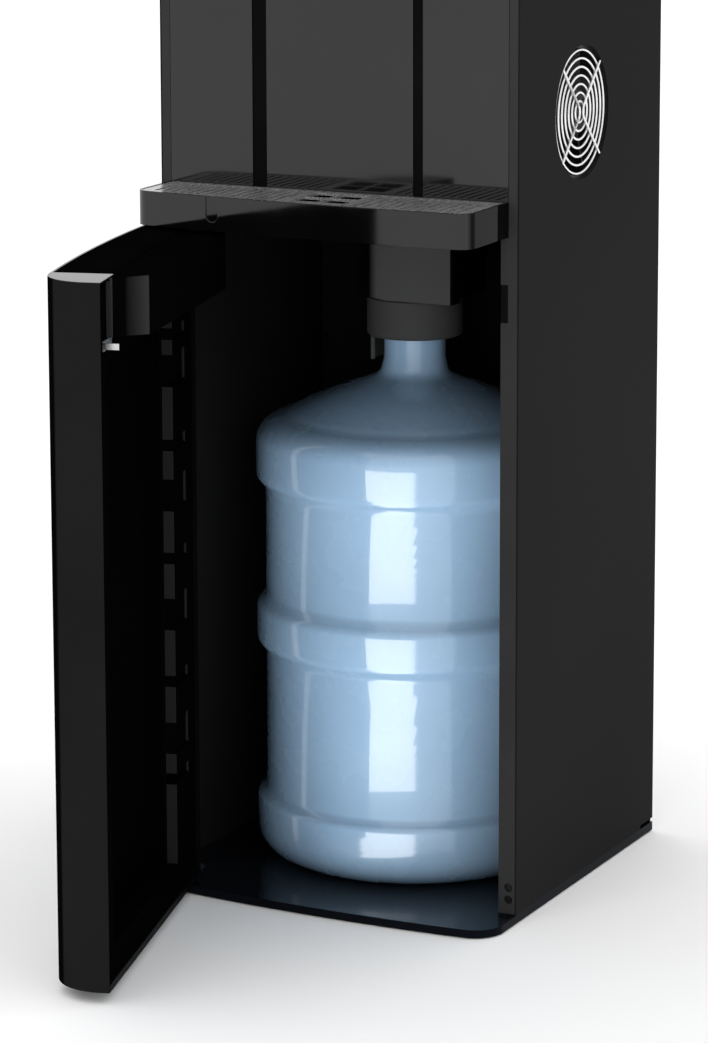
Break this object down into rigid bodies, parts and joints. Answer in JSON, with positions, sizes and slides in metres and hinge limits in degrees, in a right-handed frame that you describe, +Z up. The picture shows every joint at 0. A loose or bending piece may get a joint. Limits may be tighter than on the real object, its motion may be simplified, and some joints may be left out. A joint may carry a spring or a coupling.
{
  "type": "bottom load water cooler",
  "caption": "Tall free-standing black water cooler whose lower bay holds an upright bottle behind a hinged door, with a drip tray and spouts above",
  "frame": {"origin": "on the floor below the middle of the cabinet, on the axis of the bottle", "axes": "X to the right of the machine seen from in front, Y to the back, Z up"},
  "size_m": [0.321, 0.6203, 1.037],
  "materials": {
    "black_moulding": "fine matt black moulding",
    "black_paint": "satin black paint on sheet steel",
    "gloss_black": "piano black gloss",
    "dark_grey": "matt dark grey moulding",
    "rubber": "dark rubber",
    "black_screw": "blackened steel",
    "zinc": "zinc plated steel",
    "red_plastic": "satin red plastic",
    "blue_plastic": "satin blue plastic",
    "green_plastic": "satin green plastic",
    "grey_plastic": "satin light grey plastic",
    "clear_lens": "milky lens",
    "stainless": "stainless steel",
    "bright_metal": "bright plated wire and plate",
    "bottle_plastic": "blue tinted clear plastic, full of water",
    "black_plastic": "satin black plastic",
    "aluminium": "extruded aluminium",
    "ceramic": "white ceramic",
    "foam": "white closed cell foam",
    "brass": "brass band",
    "board": "green circuit board",
    "hose": "clear silicone hose",
    "magnet": "nickel plated magnet",
    "bush": "white acetal"
  },
  "bodies": {
    "cabinet": {"base_tray": "black_moulding", "base_glides": "rubber", "left_side_panel": "black_paint", "right_side_panel": "black_paint", "rear_panel": "black_moulding", "left_pillar": "black_moulding", "right_pillar": "black_moulding", "front_beam": "black_moulding", "bay_ceiling": "black_moulding", "case_screws": "black_screw", "dispensing_panel": "gloss_black", "head_shell": "gloss_black", "control_deck": "gloss_black", "top_cover": "gloss_black", "door_magnet": "magnet", "hot_spring": "zinc", "room_spring": "zinc", "cold_spring": "zinc", "indicator_lenses": "clear_lens", "hot_spout": "stainless", "room_spout": "stainless", "cold_spout": "stainless", "tray_bracket": "zinc", "dock_body": "black_moulding", "dock_cover": "dark_grey", "probe_cap": "dark_grey", "suction_tube": "stainless", "bottle": "bottle_plastic", "fan_guard": "bright_metal", "fan_frame": "black_plastic", "heat_sink": "aluminium", "peltier_module": "ceramic", "cold_tank": "stainless", "tank_insulation": "foam", "hot_tank": "stainless", "hot_tank_heater": "brass", "water_pump": "black_plastic", "control_board": "board", "power_supply": "zinc", "water_hoses": "hose", "power_inlet": "black_plastic", "switch_housings": "black_plastic", "drain_plug": "zinc", "hinge_plates": "zinc"},
    "door": {"door_shell": "gloss_black", "door_liner": "black_moulding", "door_top_cap": "black_moulding", "door_bottom_cap": "black_moulding", "door_rail": "black_moulding", "door_catch": "zinc", "hinge_bushes": "bush"},
    "hot_button": {"hot_button": "red_plastic"},
    "room_button": {"room_button": "grey_plastic"},
    "cold_button": {"cold_button": "blue_plastic"},
    "child_lock": {"child_lock": "red_plastic"},
    "fan_rotor": {"fan_rotor": "black_plastic"},
    "hot_switch": {"hot_switch": "red_plastic"},
    "cold_switch": {"cold_switch": "green_plastic"},
    "drip_tray": {"drip_tray": "gloss_black"},
    "tray_grille": {"tray_grille": "bright_metal"}
  },
  "joints": [
    {"name": "door_hinge", "type": "hinge", "parent": "cabinet", "child": "door", "pos_m": [-0.147, -0.176, 0.28], "axis": [0, 0, -1], "range_deg": [-74.9, 30.1]},
    {"name": "tray_slide", "type": "slide", "parent": "cabinet", "child": "drip_tray", "axis": [0, -1, 0], "range_m": [0, 0.095]},
    {"name": "grille_lift", "type": "slide", "parent": "drip_tray", "child": "tray_grille", "axis": [0, 0, 1], "range_m": [0, 0.06]},
    {"name": "hot_press", "type": "slide", "parent": "cabinet", "child": "hot_button", "axis": [0, 0, -1], "range_m": [0, 0.003], "stiffness_N_per_m": 300, "springref_m": -0.001, "deforming": ["hot_spring"]},
    {"name": "room_press", "type": "slide", "parent": "cabinet", "child": "room_button", "axis": [0, 0, -1], "range_m": [0, 0.003], "stiffness_N_per_m": 300, "springref_m": -0.001, "deforming": ["room_spring"]},
    {"name": "cold_press", "type": "slide", "parent": "cabinet", "child": "cold_button", "axis": [0, 0, -1], "range_m": [0, 0.003], "stiffness_N_per_m": 300, "springref_m": -0.001, "deforming": ["cold_spring"]},
    {"name": "lock_slide", "type": "slide", "parent": "cabinet", "child": "child_lock", "axis": [0, 1, 0], "range_m": [0, 0.006]},
    {"name": "fan_spin", "type": "hinge", "parent": "cabinet", "child": "fan_rotor", "pos_m": [0.146, -0.0212, 0.6532], "axis": [1, 0, 0], "continuous": true},
    {"name": "hot_rocker", "type": "hinge", "parent": "cabinet", "child": "hot_switch", "pos_m": [-0.113, 0.1447, 0.664], "axis": [1, 0, 0], "range_deg": [-7, 7]},
    {"name": "cold_rocker", "type": "hinge", "parent": "cabinet", "child": "cold_switch", "pos_m": [-0.079, 0.1447, 0.664], "axis": [1, 0, 0], "range_deg": [-7, 7]}
  ]
}
